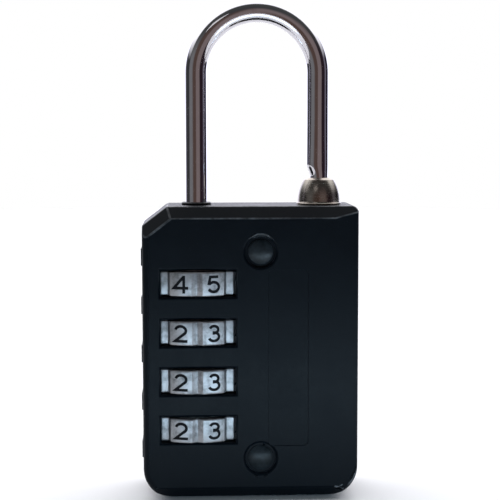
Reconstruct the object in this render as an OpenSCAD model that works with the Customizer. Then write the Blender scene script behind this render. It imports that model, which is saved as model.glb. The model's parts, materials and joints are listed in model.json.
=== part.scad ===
/* [Body] */
// Overall width across the side ribs
body_w = 30; // [29:0.5:32]
// Height of the body without the shackle
body_h = 40.5; // [40:0.5:42]
// Thickness of the body, front face to back face
body_t = 13; // [12.5:0.1:13.2]
// Radius of the two bottom corners
corner_r = 4.2; // [3:0.1:4.4]
// Radius of the top right corner
top_corner_r = 0.9; // [0.5:0.1:1.2]
// Slope along the top and bottom edges of each face
bevel = 1.6; // [1:0.1:1.8]
// Radius along the upright edges of each face
edge_r = 1; // [0.6:0.1:1.2]
// Width of the cut top left corner
chamfer_w = 3.4; // [2.5:0.1:3.6]
// Height of the cut top left corner
chamfer_h = 2.6; // [2:0.1:3]
// Width of the sloping flank on the right of each face
flank_w = 3.3; // [2:0.1:4]
// How far the flank falls away at the right edge
flank_d = 0.8; // [0.3:0.1:1]
// How far the ribs between the side slots stand out
rib_out = 0.25; // [0.1:0.05:0.3]

/* [Panel] */
// Left edge of the sunk panel on the front face
panel_x = 2.5; // [2:0.1:3]
// Lower edge of the sunk panel
panel_z = 7.45; // [7:0.1:9]
// Width of the sunk panel
panel_w = 5.5; // [4:0.1:6]
// Height of the sunk panel
panel_h = 24.4; // [20:0.2:25]
// Depth of the sunk panel
panel_d = 0.15; // [0.1:0.05:0.3]

/* [Dials] */
// X of the axis that the dials turn about
dial_x = -7.25; // [-7.5:0.05:-7.2]
// Height of the lowest dial's centre
dial_z = 9.75; // [9.65:0.05:10]
// Distance from one dial to the next
dial_pitch = 6.75; // [6.6:0.05:6.75]
// Outer radius of a number ring
ring_r = 7.4; // [7.2:0.05:7.4]
// Height of a number ring
ring_h = 3.3; // [3.1:0.1:3.4]
// Depth of the V grooves between the numbers
groove_d = 0.6; // [0.3:0.05:0.7]
// Width of the V grooves between the numbers
groove_w = 1.44; // [1:0.04:1.6]
// X of the middle of a window in the front or back face
window_x = -7.1; // [-7.2:0.05:-6.9]
// Width of a window
window_w = 10.3; // [10:0.1:10.7]
// Height of a window
window_h = 3.7; // [3.6:0.1:3.9]
// Half the width of a side slot
slot_y = 3.4; // [3:0.1:3.6]

/* [Shackle] */
// Diameter of the shackle rod
rod_d = 3; // [2.8:0.1:3]
// Height of the top of the shackle
shackle_top = 68.8; // [62:0.2:72]
// Distance between the two legs
leg_gap = 17; // [16.8:0.1:17.2]
// Diameter of the turned-down toe
toe_d = 2.5; // [2.2:0.1:2.6]
// How far the toe's axis stands off the leg's
toe_off = 0.22; // [0:0.02:0.24]
// How far the toe reaches into the body
toe_in = 2.5; // [2:0.1:2.8]
// Radius to the tip of a locking lug
lug_r = 2.7; // [2.4:0.1:2.7]
// Thickness of a locking lug
lug_w = 1.2; // [1:0.1:1.3]
// Height of a locking lug
lug_h = 1.2; // [1:0.1:1.3]

/* [Toe collar] */
// Height of the collar above the body
collar_h = 3.7; // [3:0.1:3.8]
// Radius of the collar's bulging side at its widest
collar_r = 2.97; // [2.8:0.01:3.05]
// Radius of the collar's foot
foot_r = 3.15; // [3.1:0.05:3.3]

/* [Rivets] */
// X of both rivets
rivet_x = 1.45; // [1.4:0.05:1.7]
// Height of the upper rivet
rivet_top_z = 34.3; // [34:0.1:34.6]
// Height of the lower rivet
rivet_low_z = 5.7; // [5.2:0.1:5.7]
// Radius of a domed rivet head
rivet_head_r = 1.7; // [1.5:0.1:1.8]
// Radius of the well round a rivet head
well_r = 2.12; // [2:0.02:2.2]
// Depth of the well round a rivet head
well_d = 0.7; // [0.5:0.1:0.9]

/* [Hidden] */
$fn = 96;

// Outline of the body: the left wall stands back from the ribs
left = rib_out - body_w / 2;
right = body_w / 2;
half_t = body_t / 2;
over = 1;
chamfer_a = atan2(chamfer_h, chamfer_w);
chamfer_l = norm([chamfer_w, chamfer_h]);
boss_r = 2.1;
boss_h = 0.35;

// Fits: a turning or sliding part in its hole, and a ring in its pocket
fit = 0.08;
gap = 0.2;
ring_gap = 0.25;

// The stack on the dial axis, worked out from each ring's centre
cam_r = 4.6;
flange_r = 5.2;
flange_h = 1.2;
spacer_r = 5.3;
spacer_bore_r = 2.9;
tunnel_r = 5.4;
rod_r = rod_d / 2;
bore_r = rod_r + fit;
cam_low = -ring_h / 2 - flange_h;
zone_h = dial_pitch - ring_h - flange_h;
lug_low = cam_low - zone_h / 2 - lug_h / 2;
lift = dial_pitch;
last_dial_z = dial_z + 3 * dial_pitch;
stack_low = dial_z + cam_low - zone_h;
stack_top = last_dial_z + lift + lug_low + lug_h + 0.1;
axial_play = 0.05;
notch_d = 0.5;
slot_play = 0.15;

// Springs
floor_z = 1.5;
leg_end = dial_z + lug_low - 0.65;
spring_bore_r = 0.95;
spring_bore_l = 6;
spring_wire_r = 0.16;
return_r = 3.3;
return_wire_r = 0.28;
leaf_t = 0.25;
leaf_x = 0.3;
leaf_y = 3;
leaf_r = dial_x + flange_r + axial_play;
finger_h = 0.7;

// Shackle
arc_r = leg_gap / 2;
arc_z = shackle_top - rod_r - arc_r;
leg_x = dial_x + leg_gap;
toe_x = leg_x + toe_off;
toe_end = body_h - toe_in;
neck_l = 0.5;
neck_z = body_h + collar_h + 0.2;
toe_r = toe_d / 2;

// Collar
stem_r = 2.3;
stem_l = 3;
bulge_r = 5.74;
bulge_z = 0.4;

rivet_r = 0.9;
rivet_hole_r = 0.95;
head_h = 0.7;
head_rim = 0.2;
dome_r = (rivet_head_r * rivet_head_r + (head_h - head_rim) * (head_h - head_rim)) / 2
    / (head_h - head_rim);
well_chamfer = 0.3;

shell_black = "#14181a";
steel = "#b9bcc0";
chrome = "#d6d7da";
zinc = "#a8aaad";

// ---- Body outline and its edges ----

module corner_waste(r) {
    difference() {
        translate([-over, -over]) square(r + over);
        translate([r, r]) circle(r);
    }
}

// Seen from the front, X across and Z up
module body_outline() {
    difference() {
        translate([left, 0]) square([right - left, body_h]);
        translate([left, 0]) corner_waste(corner_r);
        translate([right, 0]) mirror([1, 0]) corner_waste(corner_r);
        translate([right, body_h]) rotate(180) corner_waste(top_corner_r);
        translate([left, body_h - chamfer_h]) rotate(chamfer_a)
            translate([-over, 0]) square([chamfer_l + 2 * over, 2 * chamfer_h]);
    }
}

// Waste beside a slope that takes d off the face and n off the edge
module slope_waste(d, n) {
    polygon([[-over, -n - over * n / d], [d + over * d / n, over], [-over, over]]);
}

// Waste outside a rounded edge
module round_waste(r) {
    difference() {
        translate([-over, -r]) square(r + over);
        translate([r, -r]) circle(r);
    }
}

// Cuts a profile (depth behind the front face, distance outside the edge) along an edge
module along_edge(x, z, angle, length, ends) {
    translate([x, -half_t, z]) rotate([0, -angle, 0]) translate([-ends, 0, 0])
        rotate([90, 0, 90]) linear_extrude(length + 2 * ends) children();
}

// The same profile round a bottom corner
module round_corner(x, start) {
    translate([x, 0, corner_r]) rotate([90, 0, 0])
        rotate_extrude(angle = 90, start = start)
            translate([corner_r, half_t]) rotate(-90) children();
}

module face_edges() {
    // sloping top edge, along the cut corner as well
    along_edge(left, body_h, 0, right - left, over) slope_waste(bevel, bevel);
    along_edge(left, body_h - chamfer_h, chamfer_a, chamfer_l, 2) slope_waste(bevel, bevel);
    // sloping bottom edge
    along_edge(right, 0, 180, right - left, over) slope_waste(bevel, bevel);
    // rounded left edge, with the corner below it and the run to the other corner
    along_edge(left, corner_r, 90, body_h - corner_r, 0) round_waste(edge_r);
    round_corner(left + corner_r, 180) round_waste(edge_r);
    // falling flank and rounded right edge
    along_edge(right, body_h, -90, body_h, over) slope_waste(flank_d, flank_w);
    along_edge(right, body_h, -90, body_h - corner_r, 0) flank_round();
    round_corner(right - corner_r, 270) flank_round();
}

// The right edge is rounded behind the flank
module flank_round() {
    difference() {
        translate([-over, -edge_r]) square([flank_d + edge_r + over, edge_r + over]);
        translate([flank_d + edge_r / 2, -edge_r]) circle(edge_r);
        translate([flank_d + edge_r / 2, -edge_r]) square(edge_r);
    }
}

// ---- Openings in the body ----

// A window with a narrow slope round it
module window() {
    slope = 0.25;
    depth = 2.6;
    translate([-window_w / 2, -half_t - over, -window_h / 2])
        cube([window_w, depth + over, window_h]);
    intersection() {
        rotate([90, 0, 0]) translate([0, 0, half_t - slope]) linear_extrude(slope + over)
            square([window_w + 2, window_h + 2], center = true);
        translate([-window_w, 0, 0]) rotate([90, 0, 90]) linear_extrude(2 * window_w)
            window_taper(window_h / 2, slope);
        translate([0, 0, -window_h]) linear_extrude(2 * window_h)
            rotate(90) mirror([0, 1]) window_taper(window_w / 2, slope);
    }
}

// Opens by the slope's depth from behind the face to the face and on past it
module window_taper(half, slope) {
    polygon([[-half_t + slope, -half], [-half_t - over, -half - slope - over],
        [-half_t - over, half + slope + over], [-half_t + slope, half]]);
}

module rounded_rectangle(w, h, r) {
    translate([r, 0]) square([w - 2 * r, h]);
    translate([0, r]) square([w, h - 2 * r]);
    for (x = [r, w - r], y = [r, h - r]) translate([x, y]) circle(r);
}

module rivet_well() {
    rotate([90, 0, 0]) {
        translate([0, 0, half_t - well_d]) cylinder(h = well_d + over, r = well_r);
        translate([0, 0, half_t - well_chamfer])
            cylinder(h = 2 * well_chamfer, r1 = well_r, r2 = well_r + 2 * well_chamfer);
        cylinder(h = body_t, r = rivet_hole_r, center = true);
    }
}

// Everything inside that the moving parts need, on the dial axis
module dial_space() {
    translate([dial_x, 0, 0]) {
        for (i = [0:3]) translate([0, 0, dial_z + i * dial_pitch]) {
            cylinder(h = window_h, r = ring_r + ring_gap, center = true);
            translate([-ring_r - 2, -slot_y, -window_h / 2]) cube([4, 2 * slot_y, window_h]);
        }
        translate([0, 0, stack_low]) cylinder(h = stack_top - stack_low, r = tunnel_r);
        translate([0, 0, floor_z])
            cylinder(h = stack_low, r = return_r + return_wire_r + gap);
        translate([0, 0, floor_z]) cylinder(h = body_h, r = bore_r);
    }
    leaf_space();
}

module leaf_space() {
    low = dial_z + cam_low;
    top = last_dial_z + ring_h / 2;
    translate([leaf_r - gap, -leaf_y - gap, low])
        cube([leaf_x + leaf_t + gap - leaf_r + gap, 2 * (leaf_y + gap), top - low + gap]);
}

module toe_space() {
    translate([toe_x, 0, body_h - stem_l]) cylinder(h = stem_l + over, r = stem_r);
}

// ---- Shells ----

// The front half: the back half is the same casting turned over, without the panel
module half_shell() {
    difference() {
        union() {
            difference() {
                rotate([90, 0, 0]) linear_extrude(half_t) body_outline();
                face_edges();
            }
            side_ribs();
            leg_boss();
        }
        for (i = [0:3]) translate([window_x, 0, dial_z + i * dial_pitch]) window();
        for (z = [rivet_low_z, rivet_top_z]) translate([rivet_x, 0, z]) rivet_well();
        dial_space();
        toe_space();
    }
}

module side_ribs() {
    rib_h = 2.4;
    rib_y = slot_y - 0.4;
    for (i = [0:4])
        translate([left - rib_out, -rib_y, dial_z + (i - 0.5) * dial_pitch - rib_h / 2])
            cube([1, rib_y, rib_h]);
}

// A low half-round boss round the long leg
module leg_boss() {
    intersection() {
        translate([dial_x, 0, body_h - 1]) cylinder(h = 1 + boss_h, r = boss_r);
        translate([dial_x - boss_r, -boss_r, body_h - 1]) cube([2 * boss_r, boss_r, 2]);
    }
}

module front_shell() {
    color(shell_black) difference() {
        half_shell();
        translate([panel_x, -half_t + panel_d, panel_z]) rotate([90, 0, 0])
            linear_extrude(over) rounded_rectangle(panel_w, panel_h, 0.6);
    }
}

module back_shell() {
    color(shell_black) mirror([0, 1, 0]) half_shell();
}

// ---- Fasteners ----

// A domed head on its seat, pointing along +Z
module rivet_head() {
    intersection() {
        cylinder(h = head_h, r = rivet_head_r);
        translate([0, 0, head_h - dome_r]) sphere(dome_r);
    }
}

module rivet(z) {
    color(shell_black) translate([rivet_x, 0, z]) rotate([90, 0, 0]) {
        cylinder(h = body_t - 2 * well_d, r = rivet_r, center = true);
        for (end = [0, 1]) mirror([0, 0, end])
            translate([0, 0, half_t - well_d]) rivet_head();
    }
}

module upper_rivet() {
    rivet(rivet_top_z);
}

module lower_rivet() {
    rivet(rivet_low_z);
}

// ---- Shackle and what holds it ----

module toe_collar() {
    color(steel) translate([toe_x, 0, body_h]) difference() {
        union() {
            rotate_extrude() collar_profile();
            translate([0, 0, -stem_l]) cylinder(h = stem_l, r = stem_r);
        }
        translate([0, 0, -stem_l - over])
            cylinder(h = stem_l + collar_h + 2 * over, r = toe_r + fit);
    }
}

// Bulging side, sloped rim and a flat foot
module collar_profile() {
    rim = 0.3;
    foot_h = 0.35;
    intersection() {
        translate([collar_r - bulge_r, bulge_z]) circle(bulge_r);
        square([collar_r, collar_h]);
        rim_r = collar_r - bulge_r + sqrt(pow(bulge_r, 2) - pow(collar_h - bulge_z, 2));
        polygon([[0, 0], [collar_r, 0], [collar_r, collar_h - collar_r + rim_r - rim],
            [rim_r - rim, collar_h], [0, collar_h]]);
    }
    square([foot_r, foot_h]);
}

module lugs() {
    for (i = [0:3])
        translate([-lug_w / 2, 0, dial_z + i * dial_pitch + lug_low])
            cube([lug_w, lug_r, lug_h]);
}

module shackle() {
    color(chrome) difference() {
        union() {
            // long leg, with a lug below each cam
            translate([dial_x, 0, leg_end]) cylinder(h = arc_z - leg_end, r = rod_r);
            translate([dial_x, 0, 0]) lugs();
            // bow
            translate([dial_x + arc_r, 0, arc_z]) rotate([90, 0, 0])
                rotate_extrude(angle = 180) translate([arc_r, 0]) circle(rod_r);
            // toe leg, turned down mostly on its inner side where it enters the collar
            translate([leg_x, 0, neck_z + neck_l])
                cylinder(h = arc_z - neck_z - neck_l, r = rod_r);
            translate([leg_x, 0, neck_z]) cylinder(h = neck_l, r1 = toe_r, r2 = rod_r);
            translate([toe_x, 0, toe_end + neck_l])
                cylinder(h = neck_z - toe_end, r = toe_r);
            translate([toe_x, 0, toe_end])
                cylinder(h = neck_l, r1 = toe_r - neck_l / 2, r2 = toe_r);
        }
        // blind hole that holds the spring
        translate([dial_x, 0, leg_end - over])
            cylinder(h = spring_bore_l + over, r = spring_bore_r);
    }
}

// ---- Dials ----

module number_ring(i) {
    wide = groove_w * (groove_d + over) / groove_d;
    color(zinc) translate([dial_x, 0, dial_z + (i - 1) * dial_pitch]) difference() {
        cylinder(h = ring_h, r = ring_r, center = true);
        cylinder(h = ring_h + over, r = cam_r, center = true);
        // grooves between the ten numbers
        for (k = [0:9]) rotate(k * 36 - 90) translate([ring_r - groove_d, 0, -ring_h])
            linear_extrude(2 * ring_h)
                polygon([[0, 0], [groove_d + over, wide / 2], [groove_d + over, -wide / 2]]);
    }
}

// A sleeve inside the ring, with a notched flange under it and a way through for the lug
module cam(i) {
    color(steel) translate([dial_x, 0, dial_z + (i - 1) * dial_pitch]) difference() {
        union() {
            translate([0, 0, -ring_h / 2]) cylinder(h = ring_h, r = cam_r);
            translate([0, 0, cam_low]) cylinder(h = flange_h, r = flange_r);
        }
        translate([0, 0, cam_low - over])
            cylinder(h = ring_h + flange_h + 2 * over, r = bore_r);
        translate([-lug_w / 2 - slot_play, 0, cam_low - over])
            cube([lug_w + 2 * slot_play, lug_r + slot_play, ring_h + flange_h + 2 * over]);
        for (k = [0:9]) rotate(k * 36) translate([flange_r - notch_d, 0, cam_low - over])
            linear_extrude(flange_h + over)
                polygon([[0, 0], [2 * notch_d, notch_d * 2], [2 * notch_d, -notch_d * 2]]);
    }
}

// Rings that keep the cams apart and leave room for a lug inside
module spacer(i) {
    low = i == 5 ? last_dial_z + ring_h / 2 : dial_z + (i - 1) * dial_pitch + cam_low - zone_h;
    top = i == 5 ? stack_top : low + zone_h;
    color(zinc) translate([dial_x, 0, low + axial_play]) difference() {
        cylinder(h = top - low - 2 * axial_play, r = spacer_r);
        translate([0, 0, -over])
            cylinder(h = top - low + 2 * over, r = spacer_bore_r);
    }
}

// ---- Springs ----

// A leaf plate beside the stack, with one bowed finger at each cam's notches
module detent_spring() {
    low = dial_z + cam_low + gap;
    top = last_dial_z + ring_h / 2 - gap;
    finger_r = leaf_x - leaf_r;
    color(steel) {
        translate([leaf_x, -leaf_y, low]) cube([leaf_t, 2 * leaf_y, top - low]);
        for (i = [0:3]) intersection() {
            translate([leaf_x, 0, dial_z + i * dial_pitch + cam_low + gap]) difference() {
                cylinder(h = finger_h, r = finger_r);
                translate([0, 0, -over]) cylinder(h = finger_h + 2 * over, r = finger_r - leaf_t);
            }
            translate([leaf_r - over, -leaf_y, 0]) cube([finger_r + over, 2 * leaf_y, body_h]);
        }
    }
}

// Points of one ring of the wire's surface at turn angle a
function wire_ring(a, r, wire_r, z, sides) = [for (k = [0:sides - 1])
    let (b = 360 * k / sides, reach = r + wire_r * cos(b))
    [reach * cos(a), reach * sin(a), z + wire_r * sin(b)]];

// A coil of round wire standing on z = 0
module coil(r, wire_r, height, turns) {
    sides = 6;
    steps = turns * 20;
    rise = height - 2 * wire_r;
    points = [for (s = [0:steps])
        each wire_ring(18 * s, r, wire_r, wire_r + rise * s / steps, sides)];
    walls = [for (s = [0:steps - 1], k = [0:sides - 1])
        let (n = (k + 1) % sides, low = s * sides, high = low + sides)
        [low + k, high + k, high + n, low + n]];
    start = [for (k = [0:sides - 1]) k];
    finish = [for (k = [sides - 1:-1:0]) steps * sides + k];
    polyhedron(points, concat([start, finish], walls));
}

// Pushes the shackle up from inside its long leg
module shackle_spring() {
    color(steel) translate([dial_x, 0, floor_z])
        coil(spring_bore_r - spring_wire_r - fit, spring_wire_r,
            leg_end + spring_bore_l - floor_z, 12);
}

// Holds the cams up in their rings, and gives when a new code is set
module cam_return_spring() {
    color(steel) translate([dial_x, 0, floor_z])
        coil(return_r, return_wire_r, stack_low + axial_play - floor_z, 4);
}

front_shell();
back_shell();
upper_rivet();
lower_rivet();
toe_collar();
shackle();
shackle_spring();
detent_spring();
cam_return_spring();
number_ring(1);  // number_ring_1
number_ring(2);  // number_ring_2
number_ring(3);  // number_ring_3
number_ring(4);  // number_ring_4
cam(1);  // cam_1
cam(2);  // cam_2
cam(3);  // cam_3
cam(4);  // cam_4
spacer(1);  // spacer_1
spacer(2);  // spacer_2
spacer(3);  // spacer_3
spacer(4);  // spacer_4
spacer(5);  // spacer_5
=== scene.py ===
"""Looks of a luggage padlock: painted shells, chrome shackle, turned collar and engraved dials."""

import json
import math

import bmesh
import bpy
from mathutils import Matrix, Vector

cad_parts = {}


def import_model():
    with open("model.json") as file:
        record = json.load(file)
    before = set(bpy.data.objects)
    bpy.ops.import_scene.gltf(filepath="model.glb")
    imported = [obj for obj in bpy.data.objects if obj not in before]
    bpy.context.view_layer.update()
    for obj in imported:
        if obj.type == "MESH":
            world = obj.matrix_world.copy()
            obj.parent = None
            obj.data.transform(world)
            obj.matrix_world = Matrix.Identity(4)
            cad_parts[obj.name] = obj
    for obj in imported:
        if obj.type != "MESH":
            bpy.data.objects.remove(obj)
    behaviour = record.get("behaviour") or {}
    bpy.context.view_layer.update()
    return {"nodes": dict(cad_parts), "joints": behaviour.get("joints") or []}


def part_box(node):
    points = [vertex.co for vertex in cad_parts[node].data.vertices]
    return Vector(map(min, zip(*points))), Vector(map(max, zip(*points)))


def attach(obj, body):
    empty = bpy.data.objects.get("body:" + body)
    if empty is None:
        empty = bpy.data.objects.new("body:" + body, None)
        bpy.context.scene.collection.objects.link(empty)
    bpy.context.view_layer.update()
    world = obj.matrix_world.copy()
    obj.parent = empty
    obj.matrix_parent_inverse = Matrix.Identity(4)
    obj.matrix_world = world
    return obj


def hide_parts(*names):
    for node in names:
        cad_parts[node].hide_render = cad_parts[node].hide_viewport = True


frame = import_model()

MM = 0.001
scene = bpy.context.scene


# ---- Places, from the frame ----

def joint_place(name):
    """Where a joint of the frame stands."""
    return Vector(next(j for j in frame["joints"] if j["name"] == name)["pos_m"])


dial_places = [joint_place(f"dial_{i}_turn") for i in (1, 2, 3, 4)]
ring_low, ring_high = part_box("number_ring_1")
ring_height = ring_high.z - ring_low.z
ring_radius = (ring_high.x - ring_low.x) / 2
shackle_low, shackle_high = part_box("shackle")
collar_low, collar_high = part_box("toe_collar")
shell_low, shell_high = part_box("front_shell")
# Height of the flat top, below the low boss round the long leg.
body_top = 40.5 * MM


# ---- Mesh helpers ----

def add_object(name, data):
    """A new object in the scene: a mesh, a light or a camera."""
    obj = bpy.data.objects.new(name, data)
    scene.collection.objects.link(obj)
    return obj


def to_mesh(name, bm):
    """Turns a bmesh into mesh data and frees it."""
    mesh = bpy.data.meshes.new(name)
    bm.to_mesh(mesh)
    bm.free()
    return mesh


def smooth(mesh, smooth_angle):
    """Smooth shading, with edges sharper than the angle kept crisp."""
    mesh.shade_smooth()
    mesh.set_sharp_from_angle(angle=math.radians(smooth_angle))


def mesh_object(name, bm, smooth_angle=30):
    """A bmesh as a new object, its faces turned outwards."""
    bmesh.ops.recalc_face_normals(bm, faces=bm.faces)
    mesh = to_mesh(name, bm)
    smooth(mesh, smooth_angle)
    return add_object(name, mesh)


def bake_modifiers(obj):
    """Puts the modified shape into the object's own mesh."""
    depsgraph = bpy.context.evaluated_depsgraph_get()
    obj.data = bpy.data.meshes.new_from_object(obj.evaluated_get(depsgraph))
    obj.modifiers.clear()


def face_out(bm):
    """Turns every face of a closed solid outwards."""
    bmesh.ops.recalc_face_normals(bm, faces=bm.faces)
    if bm.calc_volume(signed=True) < 0:
        bmesh.ops.reverse_faces(bm, faces=bm.faces)


def boolean(obj, operation, mesh):
    """Joins a mesh to an object, or cuts it away."""
    other = add_object("other", mesh)
    step = obj.modifiers.new("step", "BOOLEAN")
    step.operation = operation
    step.solver = "EXACT"
    step.object = other
    bake_modifiers(obj)
    smooth(obj.data, 28)
    bpy.data.objects.remove(other)


def place(obj, body, slot, *materials, replaces=()):
    """Gives a piece its body and materials, and hides the CAD nodes it stands for. The slot is not used."""
    obj.data.materials.clear()
    for material in materials:
        obj.data.materials.append(material)
    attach(obj, body)
    if replaces:
        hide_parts(*replaces)


def skin_rings(bm, rings, closed=False):
    """Joins rings of vertices, each as long as the next, with quads."""
    pairs = list(zip(rings, rings[1:])) + ([(rings[-1], rings[0])] if closed else [])
    for low, high in pairs:
        count = len(low)
        for k in range(count):
            n = (k + 1) % count
            bm.faces.new((low[k], low[n], high[n], high[k]))


def lathe(profile, centre, segments, along_y=False, closed=False):
    """A bmesh turned about Z or Y from (radius, height) points. A radius of 0 closes an end to a point."""
    bm = bmesh.new()
    rings = []
    for radius, height in profile:
        ring = []
        for k in range(segments):
            a = 2 * math.pi * k / segments
            ring.append(bm.verts.new((radius * math.cos(a), radius * math.sin(a), height)))
        rings.append(ring)
    skin_rings(bm, rings, closed)
    bmesh.ops.remove_doubles(bm, verts=bm.verts, dist=0.0005 * MM)
    if along_y:
        bmesh.ops.rotate(bm, verts=bm.verts, matrix=Matrix.Rotation(math.pi / 2, 3, "X"))
    bmesh.ops.translate(bm, verts=bm.verts, vec=centre)
    return bm


def oval(cx, cy, rx, ry, start, end, steps=20):
    """Points of an elliptical arc, with angles in degrees."""
    angles = [math.radians(start + (end - start) * k / steps) for k in range(steps + 1)]
    return [(cx + rx * math.cos(a), cy + ry * math.sin(a)) for a in angles]


# ---- Material helpers ----

def new_material(name, base, metallic=0.0, roughness=0.5, ior=1.45):
    """A material, its node tree and its Principled shader."""
    mat = bpy.data.materials.new(name)
    mat.use_nodes = True
    shader = mat.node_tree.nodes["Principled BSDF"]
    shader.inputs["Base Color"].default_value = (*base, 1)
    shader.inputs["Metallic"].default_value = metallic
    shader.inputs["Roughness"].default_value = roughness
    shader.inputs["IOR"].default_value = ior
    return mat, mat.node_tree, shader


def coordinates(tree, scale=(1, 1, 1)):
    """Object coordinates in millimetres, stretched by scale."""
    tex = tree.nodes.new("ShaderNodeTexCoord")
    mapping = tree.nodes.new("ShaderNodeMapping")
    mapping.inputs["Scale"].default_value = [s / MM for s in scale]
    tree.links.new(tex.outputs["Object"], mapping.inputs["Vector"])
    return mapping.outputs["Vector"]


def noise(tree, vector, scale, detail=4, roughness=0.6):
    """Soft noise about 0.5, its grain set by scale per millimetre."""
    node = tree.nodes.new("ShaderNodeTexNoise")
    node.inputs["Scale"].default_value = scale
    node.inputs["Detail"].default_value = detail
    node.inputs["Roughness"].default_value = roughness
    tree.links.new(vector, node.inputs["Vector"])
    return node.outputs["Fac"]


def remap(tree, value, low, high, new_low, new_high):
    """A value moved from one range to another, and held inside it."""
    node = tree.nodes.new("ShaderNodeMapRange")
    ranges = {"From Min": low, "From Max": high, "To Min": new_low, "To Max": new_high}
    for socket, number in ranges.items():
        node.inputs[socket].default_value = number
    tree.links.new(value, node.inputs["Value"])
    return node.outputs["Result"]


def mix_colours(tree, factor, first, second):
    """One colour fading to another; each is a tuple or a socket."""
    node = tree.nodes.new("ShaderNodeMix")
    node.data_type = "RGBA"
    tree.links.new(factor, node.inputs["Factor"])
    for socket, colour in ((6, first), (7, second)):
        if isinstance(colour, tuple):
            node.inputs[socket].default_value = (*colour, 1)
        else:
            tree.links.new(colour, node.inputs[socket])
    return node.outputs[2]


def maths(tree, operation, first, second):
    """One sum; each side is a number or a socket."""
    node = tree.nodes.new("ShaderNodeMath")
    node.operation = operation
    for socket, value in ((0, first), (1, second)):
        if isinstance(value, (int, float)):
            node.inputs[socket].default_value = value
        else:
            tree.links.new(value, node.inputs[socket])
    return node.outputs[0]


def bump(tree, shader, height, strength, distance_mm, after=None):
    """Small relief on the shader's normal, on top of the relief before it."""
    node = tree.nodes.new("ShaderNodeBump")
    node.inputs["Strength"].default_value = strength
    node.inputs["Distance"].default_value = distance_mm * MM
    tree.links.new(height, node.inputs["Height"])
    if after is not None:
        tree.links.new(after, node.inputs["Normal"])
    tree.links.new(node.outputs["Normal"], shader.inputs["Normal"])
    return node.outputs["Normal"]


# ---- Materials ----

def black_paint():
    """Sprayed black enamel on cast zinc: faint orange peel, uneven gloss and a few dust specks."""
    mat, tree, shader = new_material("black_paint", (0.004, 0.007, 0.009), roughness=0.4, ior=1.4)
    shader.inputs["Specular IOR Level"].default_value = 0.1
    shader.inputs["Sheen Weight"].default_value = 0.06
    shader.inputs["Sheen Roughness"].default_value = 0.28
    shader.inputs["Sheen Tint"].default_value = (0.72, 0.80, 1.0, 1)
    place_mm = coordinates(tree)
    cloud = noise(tree, place_mm, 0.16, 5, 0.62)
    grain = noise(tree, place_mm, 3.2, 3, 0.5)
    speck = noise(tree, place_mm, 6.5, 2, 0.4)
    colour = mix_colours(tree, cloud, (0.0006, 0.0018, 0.0034), (0.0015, 0.0037, 0.0062))
    dust = remap(tree, speck, 0.70, 0.78, 0, 0.55)
    tree.links.new(mix_colours(tree, dust, colour, (0.020, 0.024, 0.028)), shader.inputs["Base Color"])
    tree.links.new(remap(tree, maths(tree, "ADD", cloud, grain), 0.7, 1.3, 0.33, 0.47),
                   shader.inputs["Roughness"])
    peel = bump(tree, shader, grain, 0.28, 0.012)
    bump(tree, shader, cloud, 0.25, 0.10, after=peel)
    return mat


def worn_paint_and_highlight(name, plain_tone, rub_and_highlight_tone):
    """The same paint worn thin and shiny, on edges and on the rivet heads; on the edges its lighter tones
    are also a painted highlight.
    """
    mat, tree, shader = new_material(name, plain_tone, roughness=0.32, ior=1.4)
    shader.inputs["Specular IOR Level"].default_value = 0.25
    place_mm = coordinates(tree)
    rub = remap(tree, noise(tree, place_mm, 0.45, 6, 0.7), 0.42, 0.66, 0, 1)
    tree.links.new(mix_colours(tree, rub, plain_tone, rub_and_highlight_tone), shader.inputs["Base Color"])
    tree.links.new(remap(tree, rub, 0, 1, 0.40, 0.28), shader.inputs["Roughness"])
    bump(tree, shader, noise(tree, place_mm, 4.0, 3), 0.2, 0.01)
    return mat


def chrome():
    """Chrome plate over drawn rod: a faint ripple and fine lengthwise marks."""
    mat, tree, shader = new_material("chrome", (0.62, 0.61, 0.65), 1.0, 0.07)
    ripple = noise(tree, coordinates(tree, (1, 1, 0.35)), 0.7, 3, 0.5)
    marks = noise(tree, coordinates(tree, (1, 1, 0.04)), 9, 3, 0.6)
    haze = noise(tree, coordinates(tree), 0.5, 6, 0.7)
    tree.links.new(mix_colours(tree, haze, (0.55, 0.54, 0.58), (0.69, 0.68, 0.71)),
                   shader.inputs["Base Color"])
    tree.links.new(remap(tree, haze, 0.35, 0.7, 0.045, 0.13), shader.inputs["Roughness"])
    first = bump(tree, shader, ripple, 0.22, 0.05)
    bump(tree, shader, marks, 0.10, 0.008, after=first)
    return mat


def turned_steel():
    """Steel turned on a lathe: fine rings up its height, with brown and green streaks in them that are part
    tarnished steel and part painted reflection.
    """
    mat, tree, shader = new_material("turned_steel", (0.34, 0.31, 0.28), 1.0, 0.3)
    rings = noise(tree, coordinates(tree, (0.02, 0.02, 1)), 11, 4, 0.7)
    streaks = noise(tree, coordinates(tree, (1, 1, 0.5)), 0.65, 5, 0.6)
    spread = remap(tree, streaks, 0.35, 0.65, 0, 1)
    # Brown and green streaks up the height: part tarnished steel, part painted reflection.
    reflection_and_tarnish = mix_colours(tree, spread, (0.17, 0.18, 0.145), (0.30, 0.235, 0.20))
    tree.links.new(mix_colours(tree, rings, reflection_and_tarnish, (0.40, 0.37, 0.34)), shader.inputs["Base Color"])
    tree.links.new(remap(tree, rings, 0.3, 0.7, 0.16, 0.30), shader.inputs["Roughness"])
    bump(tree, shader, rings, 0.5, 0.02)
    return mat


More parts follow.
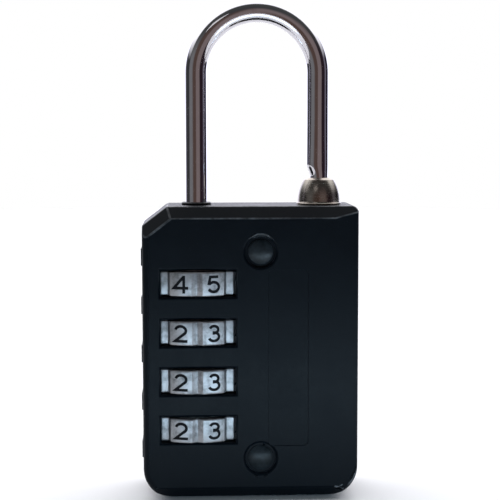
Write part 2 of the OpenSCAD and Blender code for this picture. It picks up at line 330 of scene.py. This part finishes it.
def dial_metal():
    """Satin nickel on the dials: fine lines round the rim, and grey rubbing where fingers turn them."""
    mat, tree, shader = new_material("dial_metal", (0.52, 0.52, 0.54), 0.8, 0.42)
    lines = noise(tree, coordinates(tree, (0.05, 0.05, 1)), 14, 4, 0.65)
    rub = noise(tree, coordinates(tree), 0.75, 6, 0.68)
    grime = remap(tree, rub, 0.46, 0.66, 0, 0.75)
    tree.links.new(mix_colours(tree, grime, (0.29, 0.29, 0.30), (0.09, 0.09, 0.095)),
                   shader.inputs["Base Color"])
    tree.links.new(remap(tree, maths(tree, "ADD", lines, rub), 0.75, 1.25, 0.34, 0.50),
                   shader.inputs["Roughness"])
    bump(tree, shader, lines, 0.35, 0.012)
    return mat


def number_ink():
    """Black filling in the engraved numbers, slightly uneven."""
    mat, tree, shader = new_material("number_ink", (0.002, 0.002, 0.003), roughness=0.6)
    shader.inputs["Specular IOR Level"].default_value = 0.12
    place_mm = coordinates(tree)
    blot = noise(tree, place_mm, 2.2, 4, 0.6)
    tree.links.new(mix_colours(tree, blot, (0.0012, 0.0012, 0.002), (0.004, 0.004, 0.006)),
                   shader.inputs["Base Color"])
    tree.links.new(remap(tree, blot, 0.3, 0.7, 0.42, 0.68), shader.inputs["Roughness"])
    bump(tree, shader, blot, 0.3, 0.01)
    return mat


def inner_metal(name, base, stretch):
    """Bare metal of the hidden parts: cast grain, or the drawn lines of spring wire."""
    mat, tree, shader = new_material(name, base, 1.0, 0.45)
    grain = noise(tree, coordinates(tree, stretch), 3, 4, 0.6)
    dark = tuple(c * 0.75 for c in base)
    light = tuple(c * 1.2 for c in base)
    tree.links.new(mix_colours(tree, grain, dark, light), shader.inputs["Base Color"])
    tree.links.new(remap(tree, grain, 0.3, 0.7, 0.35, 0.58), shader.inputs["Roughness"])
    bump(tree, shader, grain, 0.3, 0.02)
    return mat


paint = black_paint()
# Edge tones far lighter than the paint: a painted highlight on the creases, with worn patches in it.
paint_edge_highlight = worn_paint_and_highlight("black_paint_edge_highlight", (0.020, 0.023, 0.026), (0.100, 0.108, 0.117))
paint_rivet = worn_paint_and_highlight("black_paint_rivet", (0.004, 0.007, 0.009), (0.016, 0.021, 0.025))
chrome_plate = chrome()
collar_steel = turned_steel()
ring_metal = dial_metal()
ink = number_ink()
zinc = inner_metal("cast_zinc", (0.50, 0.51, 0.52), (1, 1, 1))
spring_steel = inner_metal("spring_steel", (0.42, 0.43, 0.45), (1, 1, 0.2))


# ---- Shells ----

EDGE_ROUND = 0.16 * MM
# Edges that bend less than this, in degrees, stay as they are.
LEAST_BEND = 25
# Share of the full rounding on the creases, on the rest of the face and round the label panel.
CREASE_SHARE, FACE_SHARE, PANEL_SHARE = 1, 0.35, 0.3
# The creases of the sloped bands lie below and above these heights.
BAND_LOW, BAND_HIGH = 3.5 * MM, 36.2 * MM
# The face lies beyond this depth; top and bottom, left side and right side lie within these margins.
FACE_DEPTH = 6.2 * MM
END_MARGIN, LEFT_MARGIN, RIGHT_MARGIN = 1.9 * MM, 0.9 * MM, 1 * MM
# Width of the cut or rounded corners on the left and on the right.
LEFT_CORNER, RIGHT_CORNER = 4.6 * MM, 4.4 * MM
PANEL_LEFT, PANEL_RIGHT = 1.9 * MM, 8.4 * MM
# The lower band keeps the lighter edge paint, a painted highlight, at its right end only.
HIGHLIGHT_END = 5 * MM


def edge_share(edge):
    """How much of the full rounding a shell's edge gets: none inside the lock or in its hollows."""
    if len(edge.link_faces) != 2 or math.degrees(edge.calc_face_angle_signed()) < LEAST_BEND:
        return 0
    x, y, z = (edge.verts[0].co + edge.verts[1].co) / 2
    crease = z < BAND_LOW or z > BAND_HIGH
    on_face = abs(y) > FACE_DEPTH
    on_end = z < END_MARGIN or z > body_top - END_MARGIN
    on_side = x < shell_low.x + LEFT_MARGIN or x > shell_high.x - RIGHT_MARGIN
    on_corner = crease and (x < shell_low.x + LEFT_CORNER or x > shell_high.x - RIGHT_CORNER)
    if not (on_face or on_end or on_side or on_corner):
        return 0
    if crease:
        return CREASE_SHARE
    return PANEL_SHARE if PANEL_LEFT < x < PANEL_RIGHT else FACE_SHARE


def shell(node):
    """The casting, its outer edges softly rounded, the upper creases and lower right end lighter: a painted
    highlight in worn edge paint.
    """
    bm = bmesh.new()
    bm.from_mesh(frame["nodes"][node].data)
    bmesh.ops.remove_doubles(bm, verts=bm.verts, dist=0.002 * MM)
    bmesh.ops.dissolve_limit(bm, angle_limit=math.radians(0.4), verts=bm.verts, edges=bm.edges)
    bmesh.ops.recalc_face_normals(bm, faces=bm.faces)
    weight = bm.edges.layers.float.new("bevel_weight_edge")
    for edge in bm.edges:
        edge[weight] = edge_share(edge)
    obj = mesh_object(node + "_casting", bm, 180)
    obj.data.materials.clear()
    obj.data.materials.append(paint)
    obj.data.materials.append(paint_edge_highlight)
    rounding = obj.modifiers.new("rounding", "BEVEL")
    rounding.width = EDGE_ROUND
    rounding.segments = 3
    rounding.limit_method = "WEIGHT"
    rounding.use_clamp_overlap = False
    rounding.material = 1
    bake_modifiers(obj)
    smooth(obj.data, 35)
    # Only the upper creases and the lower right end keep the lighter edge paint, a painted highlight; other
    # rounded edges go back to plain paint.
    for face in obj.data.polygons:
        highlight_end = face.center.z < BAND_LOW and face.center.x > shell_high.x - HIGHLIGHT_END
        if face.center.z < BAND_HIGH and not highlight_end:
            face.material_index = 0
    flats = obj.modifiers.new("flats", "WEIGHTED_NORMAL")
    flats.weight = 100
    flats.keep_sharp = True
    bake_modifiers(obj)
    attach(obj, "case")
    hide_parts(node)


for node in ("front_shell", "back_shell"):
    shell(node)


# ---- Rivets ----

def rivet(node):
    """Domed heads front and back on one shank."""
    low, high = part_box(node)
    centre = (low + high) / 2
    head_r = (high.x - low.x) / 2
    half = (high.y - low.y) / 2
    head_h, dome_h = 0.7 * MM, 0.5 * MM
    chamfer_in, chamfer_up = 0.06 * MM, 0.05 * MM
    seat = half - head_h
    shank_r = 0.9 * MM
    sphere_r = (head_r ** 2 + dome_h ** 2) / (2 * dome_h)
    dome = []
    steps = 14
    for k in range(steps + 1):
        r = head_r * (1 - k / steps)
        h = half - sphere_r + math.sqrt(sphere_r ** 2 - r ** 2)
        dome.append((r, h))
    head = [(shank_r, seat), (head_r - chamfer_in, seat), (head_r, seat + chamfer_up)] + dome
    profile = [(r, -h) for r, h in reversed(head)] + head
    obj = mesh_object(node + "_domed", lathe(profile, centre, 72, along_y=True), 40)
    place(obj, "case", "black_paint", paint_rivet, replaces=(node,))


for node in ("upper_rivet", "lower_rivet"):
    rivet(node)


# ---- Toe collar ----

def toe_collar():
    """Turned collar: fine tool rings on its bulging side, bright sloped rim and a rolled foot."""
    centre_x = (collar_low.x + collar_high.x) / 2
    top = collar_high.z - body_top
    stem = collar_low.z - body_top
    foot_r = (collar_high.x - collar_low.x) / 2
    bulge_r, bulge_z, widest = 5.74 * MM, 0.4 * MM, 2.97 * MM
    bore_r, stem_r, chamfer = 1.33 * MM, 2.3 * MM, 0.1 * MM
    foot_round, foot_middle = 0.14 * MM, 0.15 * MM

    def side(z):
        return widest - bulge_r + math.sqrt(bulge_r ** 2 - (z - bulge_z) ** 2)

    profile = [(bore_r, stem), (stem_r - chamfer, stem), (stem_r, stem + chamfer), (stem_r, 0)]
    profile.append((foot_r - 0.04 * MM, 0))
    profile += oval(foot_r - foot_round, foot_middle, foot_round, foot_round, -60, 80, 6)
    start, end, rings = 0.42 * MM, top - 0.32 * MM, 64
    for k in range(rings + 1):
        z = start + (end - start) * k / rings
        groove = 0.008 * MM if k % 2 else 0
        profile.append((side(z) - groove, z))
    rim = side(end)
    profile += [(rim - 0.03 * MM, end + 0.05 * MM), (rim - 0.40 * MM, top)]
    profile += [(bore_r + 0.12 * MM, top), (bore_r, top - chamfer)]
    bm = lathe(profile, Vector((centre_x, 0, body_top)), 128, closed=True)
    obj = mesh_object("toe_collar_turned", bm, 22)
    place(obj, "case", "turned_steel", collar_steel, replaces=("toe_collar",))


toe_collar()


# ---- Shackle ----

def tube(stations, segments):
    """A bmesh tube through stations of (centre, direction, side, radius along side, radius across)."""
    bm = bmesh.new()
    rings = []
    for centre, direction, side, reach, width in stations:
        other = direction.cross(side)
        ring = []
        for k in range(segments):
            a = 2 * math.pi * k / segments
            ring.append(bm.verts.new(centre + side * math.cos(a) * reach + other * math.sin(a) * width))
        rings.append(ring)
    skin_rings(bm, rings)
    bm.faces.new(reversed(rings[0]))
    bm.faces.new(rings[-1])
    return bm


def lug(centre_x, foot_z):
    """A locking lug on the back of the long leg, to be joined to the rod."""
    width, reach, height = 1.2 * MM, 2.7 * MM, 1.2 * MM
    edge_round = 0.08 * MM
    bm = bmesh.new()
    bmesh.ops.create_cube(bm, size=1)
    bmesh.ops.scale(bm, vec=(width, reach, height), verts=bm.verts)
    bmesh.ops.translate(bm, vec=(centre_x, reach / 2, foot_z + height / 2), verts=bm.verts)
    bmesh.ops.bevel(bm, geom=bm.edges, offset=edge_round, segments=2, profile=0.5, affect="EDGES")
    face_out(bm)
    return to_mesh("lug", bm)


def ease(t):
    """0 to 1 with soft ends."""
    t = min(1, max(0, t))
    return t * t * (3 - 2 * t)


def shackle():
    """Long leg with its lugs, bow, and short leg with a toe that steps in above the collar."""
    rod_r, toe_r, toe_off = 1.5 * MM, 1.25 * MM, 0.22 * MM
    foot_z = shackle_low.z
    foot_length = 0.4 * MM
    long_x = shackle_low.x + rod_r
    short_x = shackle_high.x - rod_r
    bow_r = (short_x - long_x) / 2
    bow_z = shackle_high.z - rod_r - bow_r
    toe_end = body_top - 2.5 * MM
    neck = collar_high.z + 0.2 * MM
    neck_length, flat_length = 1.7 * MM, 9 * MM
    leg_steps, bow_steps, neck_steps = 24, 72, 14
    up, down, side = Vector((0, 0, 1)), Vector((0, 0, -1)), Vector((0, 1, 0))
    stations = []

    def station(x, z, direction, reach, width):
        stations.append((Vector((x, 0, z)), direction, side, reach, width))

    # The long leg's foot is rounded: height in millimetres and share of the rod's radius.
    for height, share in ((0, 0.86), (0.05, 0.93), (0.14, 1)):
        station(long_x, foot_z + height * MM, up, rod_r * share, rod_r * share)
    for k in range(leg_steps):
        z = foot_z + foot_length + (bow_z - foot_z - foot_length) * k / leg_steps
        station(long_x, z, up, rod_r, rod_r)
    for k in range(bow_steps + 1):
        a = math.pi - math.pi * k / bow_steps
        direction = Vector((math.sin(a), 0, -math.cos(a)))
        station(long_x + bow_r + bow_r * math.cos(a), bow_z + bow_r * math.sin(a), direction, rod_r, rod_r)

    # The short leg flattens slowly front and back, then narrows and steps outwards at the neck.
    heights = [bow_z + (neck + neck_length - bow_z) * k / leg_steps for k in range(1, leg_steps)]
    heights += [neck + neck_length * (1 - k / neck_steps) for k in range(neck_steps + 1)]
    thinner = rod_r - toe_r
    for z in heights:
        narrow = ease((neck + neck_length - z) / neck_length)
        flat = ease((neck + flat_length - z) / flat_length)
        station(short_x + toe_off * narrow, z, down, rod_r - thinner * flat, rod_r - thinner * narrow)
    tip, tip_drop = 0.5 * MM, 0.25 * MM
    for z in (neck - 0.05 * MM, neck - tip, toe_end + 1.5 * tip, toe_end + 1.1 * tip, toe_end + tip):
        station(short_x + toe_off, z, down, toe_r, toe_r)
    station(short_x + toe_off, toe_end, down, toe_r - tip_drop, toe_r - tip_drop)

    obj = mesh_object("shackle_rod", tube(stations, 64), 40)
    first_lug = foot_z + 0.65 * MM
    for dial in dial_places:
        boolean(obj, "UNION", lug(long_x, first_lug + dial.z - dial_places[0].z))
    place(obj, "shackle", "chrome", chrome_plate, replaces=("shackle",))


shackle()


# ---- Dials ----

GROOVE_HALF, GROOVE_DEPTH = 0.72 * MM, 0.6 * MM
NUMBERS = 10
STEP = 360 / NUMBERS
# The number left of the front's middle on an unturned ring, and what each ring shows there, lowest first.
FIRST_NUMBER = 2
SHOWN_LEFT = (2, 2, 2, 4)
# Depths of the engraving, of its ink's foot and top, and how far the cutters stand out over the pads.
ENGRAVED, INK_FOOT, INK_TOP, CUT_OVER = 0.09 * MM, 0.088 * MM, 0.03 * MM, 0.1 * MM
# Degrees off centre, so that no cut runs exactly along an edge of the ring.
SLIP = 0.07


def ring_outline():
    """(angle in degrees, radius) round the ring: ten pads with a V groove between each two."""
    crest = math.degrees(math.asin(GROOVE_HALF / ring_radius))
    # Degrees to each side: of a groove's rounded lip from its crest, and of its floor from its middle.
    lip, floor_half = 0.5, 0.55
    deep = GROOVE_DEPTH / MM
    groove = (
        (-crest - lip, 0), (-crest, 0.035), (-crest + lip, 0.085),
        (-floor_half, deep - 0.05), (0, deep - 0.03), (floor_half, deep - 0.05),
        (crest - lip, 0.085), (crest, 0.035), (crest + lip, 0),
    )
    pad, steps = STEP - 2 * crest - 2 * lip, 12
    points = []
    for k in range(NUMBERS):
        middle = k * STEP - 90
        points += [(middle + angle, ring_radius - drop * MM) for angle, drop in groove]
        points += [(middle + crest + lip + pad * n / steps, ring_radius) for n in range(1, steps)]
    return points


def ring_mesh():
    """The number ring about the origin, with rounded rims and a plain bore."""
    bore_r, rim_r, rim_steps = 4.6 * MM, 0.2 * MM, 4
    outline = ring_outline()
    half = ring_height / 2
    turns = [math.radians(90 * k / rim_steps) for k in range(rim_steps + 1)]
    levels = [(rim_r * (1 - math.sin(t)), rim_r * (1 - math.cos(t)) - half) for t in turns]
    levels += [(inset, -z) for inset, z in reversed(levels)]
    bm = bmesh.new()

    def loop(z, inset=None):
        """One loop at a height: the outline drawn in by inset, or the bore when there is no inset."""
        made = []
        for angle, radius in outline:
            a = math.radians(angle)
            r = bore_r if inset is None else radius - inset
            made.append(bm.verts.new((r * math.cos(a), r * math.sin(a), z)))
        return made

    loops = [loop(-half)]
    loops += [loop(z, inset) for inset, z in levels]
    loops.append(loop(half))
    skin_rings(bm, loops, closed=True)
    return bm


NUMBER_HEIGHT = 2.45 * MM
# Widths of the numbers 0 to 9, the pen's width and the height of its topmost centre line, to a height of 1.
NUMBER_WIDTHS = (0.80, 0.36, 0.84, 0.76, 0.94, 0.76, 0.80, 0.78, 0.80, 0.80)
PEN = 0.165
TOP = 0.5 - PEN / 2
# A mitre never reaches farther out than half the pen over this.
LEAST_MITRE = 0.36


def pen_strokes(number):
    """Centre lines of a plain upright numeral one unit tall, each open unless its ends meet."""
    a = NUMBER_WIDTHS[number] / 2 - PEN / 2
    six = [oval(0, 0.26 - TOP, a, 0.26, 0, 360, 30), oval(0, 0, a, TOP, 182, 48)]
    return (
        [oval(0, 0, a, TOP, 0, 360, 36)],
        [[(0.08, -0.5), (0.08, 0.5)], [(0.06, 0.39), (-0.17, 0.24)]],
        [oval(0, TOP - 0.245, a - 0.03, 0.245, 168, -38) + [(-a, -TOP), (a + 0.06, -TOP)]],
        [oval(0, TOP - 0.2, a - 0.05, 0.2, 160, -90) + [(-0.09, TOP - 0.4)],
         [(-0.09, 0.235 * 2 - TOP)] + oval(0, 0.235 - TOP, a, 0.235, 90, -162)],
        [[(0.2, -0.5), (0.2, 0.5)], [(0.16, 0.4), (-a, -0.2), (a + 0.07, -0.2)]],
        [[(a - 0.03, TOP), (0.09 - a, TOP), (-a, -0.03)],
         oval(-0.01, 0.27 - TOP, a + 0.01, 0.27, 146, -156)],
        six,
        [[(-a - 0.07, TOP), (a, TOP), (-0.14, -0.5)]],
        [oval(0, TOP - 0.2, a - 0.05, 0.2, 0, 360, 30), oval(0, 0.235 - TOP, a, 0.235, 0, 360, 30)],
        [[(-x, -y) for x, y in line] for line in six],
    )[number]


def pen_prism(points):
    """A closed prism one unit high along one centre line, with mitred corners and square ends."""
    closed = math.dist(points[0], points[-1]) < 1e-6
    if closed:
        points = points[:-1]
    path = [Vector(p) for p in points]
    count = len(path)
    bm = bmesh.new()
    rings = []
    for k, point in enumerate(path):
        before = path[(k - 1) % count] if closed or k else point * 2 - path[1]
        after = path[(k + 1) % count] if closed or k < count - 1 else point * 2 - path[-2]
        into, out = (point - before).normalized(), (after - point).normalized()
        across = Vector((-into.y - out.y, into.x + out.x)).normalized()
        reach = PEN / 2 / max(LEAST_MITRE, across.dot(Vector((-into.y, into.x))))
        corners = (point + across * reach, point - across * reach)
        rings.append([bm.verts.new((*corners[0], 0)), bm.verts.new((*corners[1], 0)),
                      bm.verts.new((*corners[1], 1)), bm.verts.new((*corners[0], 1))])
    skin_rings(bm, rings, closed)
    if not closed:
        bm.faces.new(rings[0])
        bm.faces.new(reversed(rings[-1]))
    face_out(bm)
    return bm


def flat_number(number):
    """A number as one flat prism, a unit tall and a unit thick."""
    meshes = [to_mesh("stroke", pen_prism(line)) for line in pen_strokes(number)]
    obj = add_object("number", meshes[0])
    for mesh in meshes[1:]:
        boolean(obj, "UNION", mesh)
    made = obj.data
    bpy.data.objects.remove(obj)
    return made


def wrap(flat, inner, outer):
    """A flat number bent round the ring at 0 degrees, between two radii."""
    bm = bmesh.new()
    bm.from_mesh(flat)
    width = max(v.co.x for v in bm.verts) - min(v.co.x for v in bm.verts)
    slices, aside = 12, 0.0007
    for k in range(1, slices):
        x = (k / slices - 0.5) * width + aside
        geom = list(bm.verts) + list(bm.edges) + list(bm.faces)
        bmesh.ops.bisect_plane(bm, geom=geom, plane_co=(x, 0, 0), plane_no=(1, 0, 0), dist=1e-6)
    for v in bm.verts:
        radius = outer if v.co.z > 0.5 else inner
        a = v.co.x * NUMBER_HEIGHT / ring_radius
        v.co = Vector((radius * math.cos(a), radius * math.sin(a), v.co.y * NUMBER_HEIGHT))
    face_out(bm)
    return bm


flat_numbers = [flat_number(number) for number in range(NUMBERS)]


def number_at(number, inner, outer):
    """One number's mesh in its place on the ring; numbers rise by one every 36 degrees."""
    bm = wrap(flat_numbers[number], inner, outer)
    angle = -90 - STEP / 2 + (number - FIRST_NUMBER) * STEP + SLIP
    bmesh.ops.rotate(bm, verts=bm.verts, matrix=Matrix.Rotation(math.radians(angle), 3, "Z"))
    return to_mesh("number", bm)


def all_numbers(inner, outer):
    """The ten inked numbers as one mesh."""
    joined = bmesh.new()
    for number in range(NUMBERS):
        joined.from_mesh(number_at(number, inner, outer))
    return to_mesh("numbers", joined)


def engraved_ring():
    """One ring with its numbers cut in, about the origin."""
    ring = mesh_object("ring", ring_mesh())
    for number in range(NUMBERS):
        boolean(ring, "DIFFERENCE", number_at(number, ring_radius - ENGRAVED, ring_radius + CUT_OVER))
    mesh = ring.data
    bpy.data.objects.remove(ring)
    # A cut can leave a slot's floor open, so small holes are closed.
    bm = bmesh.new()
    bm.from_mesh(mesh)
    bmesh.ops.remove_doubles(bm, verts=bm.verts, dist=0.001 * MM)
    bmesh.ops.dissolve_degenerate(bm, dist=0.0005 * MM, edges=bm.edges)
    bmesh.ops.holes_fill(bm, edges=[edge for edge in bm.edges if edge.is_boundary], sides=8)
    face_out(bm)
    bm.to_mesh(mesh)
    bm.free()
    return mesh


def dials():
    """Four engraved rings with their ink, each turned to the number it shows."""
    ring_data = engraved_ring()
    ink_data = all_numbers(ring_radius - INK_FOOT, ring_radius - INK_TOP)
    smooth(ink_data, 30)
    for i, (dial, first) in enumerate(zip(dial_places, SHOWN_LEFT), start=1):
        turn = Matrix.Rotation(math.radians((FIRST_NUMBER - first) * STEP), 4, "Z")
        move = Matrix.Translation(dial) @ turn
        ring = add_object(f"number_ring_{i}_engraved", ring_data.copy())
        ring.data.transform(move)
        place(ring, f"dial_{i}", "dial_metal", ring_metal, replaces=(f"number_ring_{i}",))
        numbers = add_object(f"number_ring_{i}_ink", ink_data.copy())
        numbers.data.transform(move)
        place(numbers, f"dial_{i}", "number_ink", ink)


dials()


# ---- CAD nodes that stay, with their own metals ----

for name, obj in frame["nodes"].items():
    sprung = name.endswith("_spring")
    if sprung or name.startswith(("cam_", "spacer_")):
        obj.data.materials.clear()
        obj.data.materials.append(spring_steel if sprung else zinc)


# ---- Stage, light and camera ----

FLOOR_RADIUS, FLOOR_MIDDLE, FLOOR_DROP = 0.42, 0.28, 0.0002


def floor():
    """A pale disc, short in front so that the shackle's legs mirror the walls and not the floor."""
    mat, tree, shader = new_material("pale_floor", (0.86, 0.86, 0.87), roughness=0.7)
    cloud = noise(tree, coordinates(tree), 0.05, 3)
    tone = mix_colours(tree, cloud, (0.92, 0.92, 0.922), (0.95, 0.95, 0.952))
    tree.links.new(tone, shader.inputs["Base Color"])
    bm = bmesh.new()
    bmesh.ops.create_circle(bm, cap_ends=True, segments=128, radius=FLOOR_RADIUS)
    obj = mesh_object("floor", bm)
    obj.data.materials.append(mat)
    obj.location = (0, FLOOR_MIDDLE, -FLOOR_DROP)


def area_light(name, place_at, look_at, size, power, colour=(1, 1, 1)):
    """A soft rectangular light that lights the lock and isn't seen itself."""
    data = bpy.data.lights.new(name, "AREA")
    data.shape = "RECTANGLE"
    data.size, data.size_y = size
    data.energy = power
    data.color = colour
    obj = add_object(name, data)
    obj.location = place_at
    obj.rotation_euler = (Vector(look_at) - Vector(place_at)).to_track_quat("-Z", "Y").to_euler()
    obj.visible_camera = False


def ramp(tree, value, stops):
    """A colour ramp through (position, colour) stops."""
    node = tree.nodes.new("ShaderNodeValToRGB")
    points = node.color_ramp.elements
    while len(points) < len(stops):
        points.new(0.5)
    for point, (position, colour) in zip(points, stops):
        point.position = position
        point.color = (*colour, 1)
    tree.links.new(value, node.inputs["Fac"])
    return node.outputs["Color"]


def world():
    """White to the eye. What the metal reflects is a dim room, bright behind the lock and overhead."""
    made = bpy.data.worlds.new("studio")
    scene.world = made
    made.use_nodes = True
    tree = made.node_tree
    tree.nodes.clear()
    out = tree.nodes.new("ShaderNodeOutputWorld")
    seen = tree.nodes.new("ShaderNodeBackground")
    seen.inputs["Color"].default_value = (1, 1, 1, 1)
    room = tree.nodes.new("ShaderNodeBackground")
    direction = tree.nodes.new("ShaderNodeTexCoord").outputs["Generated"]
    split = tree.nodes.new("ShaderNodeSeparateXYZ")
    tree.links.new(direction, split.inputs[0])
    turn = maths(tree, "ARCTAN2", split.outputs["X"], maths(tree, "MULTIPLY", split.outputs["Y"], -1.0))
    around = remap(tree, turn, -math.pi, math.pi, 0, 1)
    walls = ramp(tree, around, WALLS)
    height = remap(tree, split.outputs["Z"], -1, 1, 0, 1)
    rise = ramp(tree, height, CEILING_RISE)
    depth = remap(tree, split.outputs["Y"], -1, 1, 0, 1)
    ceiling = ramp(tree, depth, CEILING)
    tree.links.new(mix_colours(tree, rise, walls, ceiling), room.inputs["Color"])
    room.inputs["Strength"].default_value = 1.0
    path = tree.nodes.new("ShaderNodeLightPath")
    mix = tree.nodes.new("ShaderNodeMixShader")
    tree.links.new(path.outputs["Is Camera Ray"], mix.inputs[0])
    tree.links.new(room.outputs[0], mix.inputs[1])
    tree.links.new(seen.outputs[0], mix.inputs[2])
    tree.links.new(mix.outputs[0], out.inputs["Surface"])


def camera():
    """In front of the lock, a little above its middle and to its left."""
    data = bpy.data.cameras.new("camera")
    data.sensor_width = 36
    data.lens = 93.6
    obj = add_object("camera", data)
    azimuth, elevation, roll = math.radians(2.586), math.radians(5.15), math.radians(0.07)
    obj.location = Vector((-7.97, -182.56, 50.5)) * MM
    level = math.cos(elevation)
    forward = Vector((math.sin(azimuth) * level, math.cos(azimuth) * level, -math.sin(elevation)))
    aim = forward.to_track_quat("-Z", "Y").to_matrix().to_4x4()
    obj.rotation_euler = (aim @ Matrix.Rotation(-roll, 4, "Z")).to_euler()
    scene.camera = obj


# Wall colours once round the room, from behind the lock by its left, the front and its right.
BRIGHT, DARK_GREY, GREY = (1.9, 1.9, 2.2), (0.05, 0.05, 0.053), (0.21, 0.21, 0.215)
BROWN, ROSE, SHADOW = (0.11, 0.072, 0.06), (0.24, 0.19, 0.185), (0.026, 0.015, 0.021)
VIOLET, BLACK = (0.19, 0.175, 0.22), (0.014, 0.012, 0.019)
WALLS = (
    (0.00, BRIGHT), (0.09, (1.6, 1.6, 1.9)), (0.12, (0.16, 0.16, 0.17)), (0.17, (0.10, 0.10, 0.11)),
    (0.19, DARK_GREY), (0.28, DARK_GREY), (0.30, GREY), (0.38, GREY), (0.42, BROWN), (0.49, BROWN),
    (0.51, ROSE), (0.60, ROSE), (0.62, SHADOW), (0.71, SHADOW), (0.73, VIOLET), (0.765, VIOLET),
    (0.785, BLACK), (0.88, BLACK), (0.91, (1.8, 1.8, 2.2)), (1.00, BRIGHT),
)
# How far the ceiling takes over from the walls with height, and its colours from the front to the back.
CEILING_RISE = ((0.0, (0, 0, 0)), (0.62, (0, 0, 0)), (0.80, (1, 1, 1)), (1.0, (1, 1, 1)))
CEILING = (
    (0.0, (0.05, 0.05, 0.055)), (0.40, (0.08, 0.085, 0.08)),
    (0.47, (1.5, 1.5, 1.53)), (1.0, (3.3, 3.3, 3.38)),
)

floor()
world()
camera()
area_light("key", (-0.16, -0.34, 0.30), (0, 0, 0.03), (0.12, 0.08), 0.028)
area_light("low_front", (0.01, -0.065, 0.004), (0, 0, 0.012), (0.12, 0.012), 0.042, (0.56, 0.81, 1.0))
scene.view_settings.view_transform = "Standard"
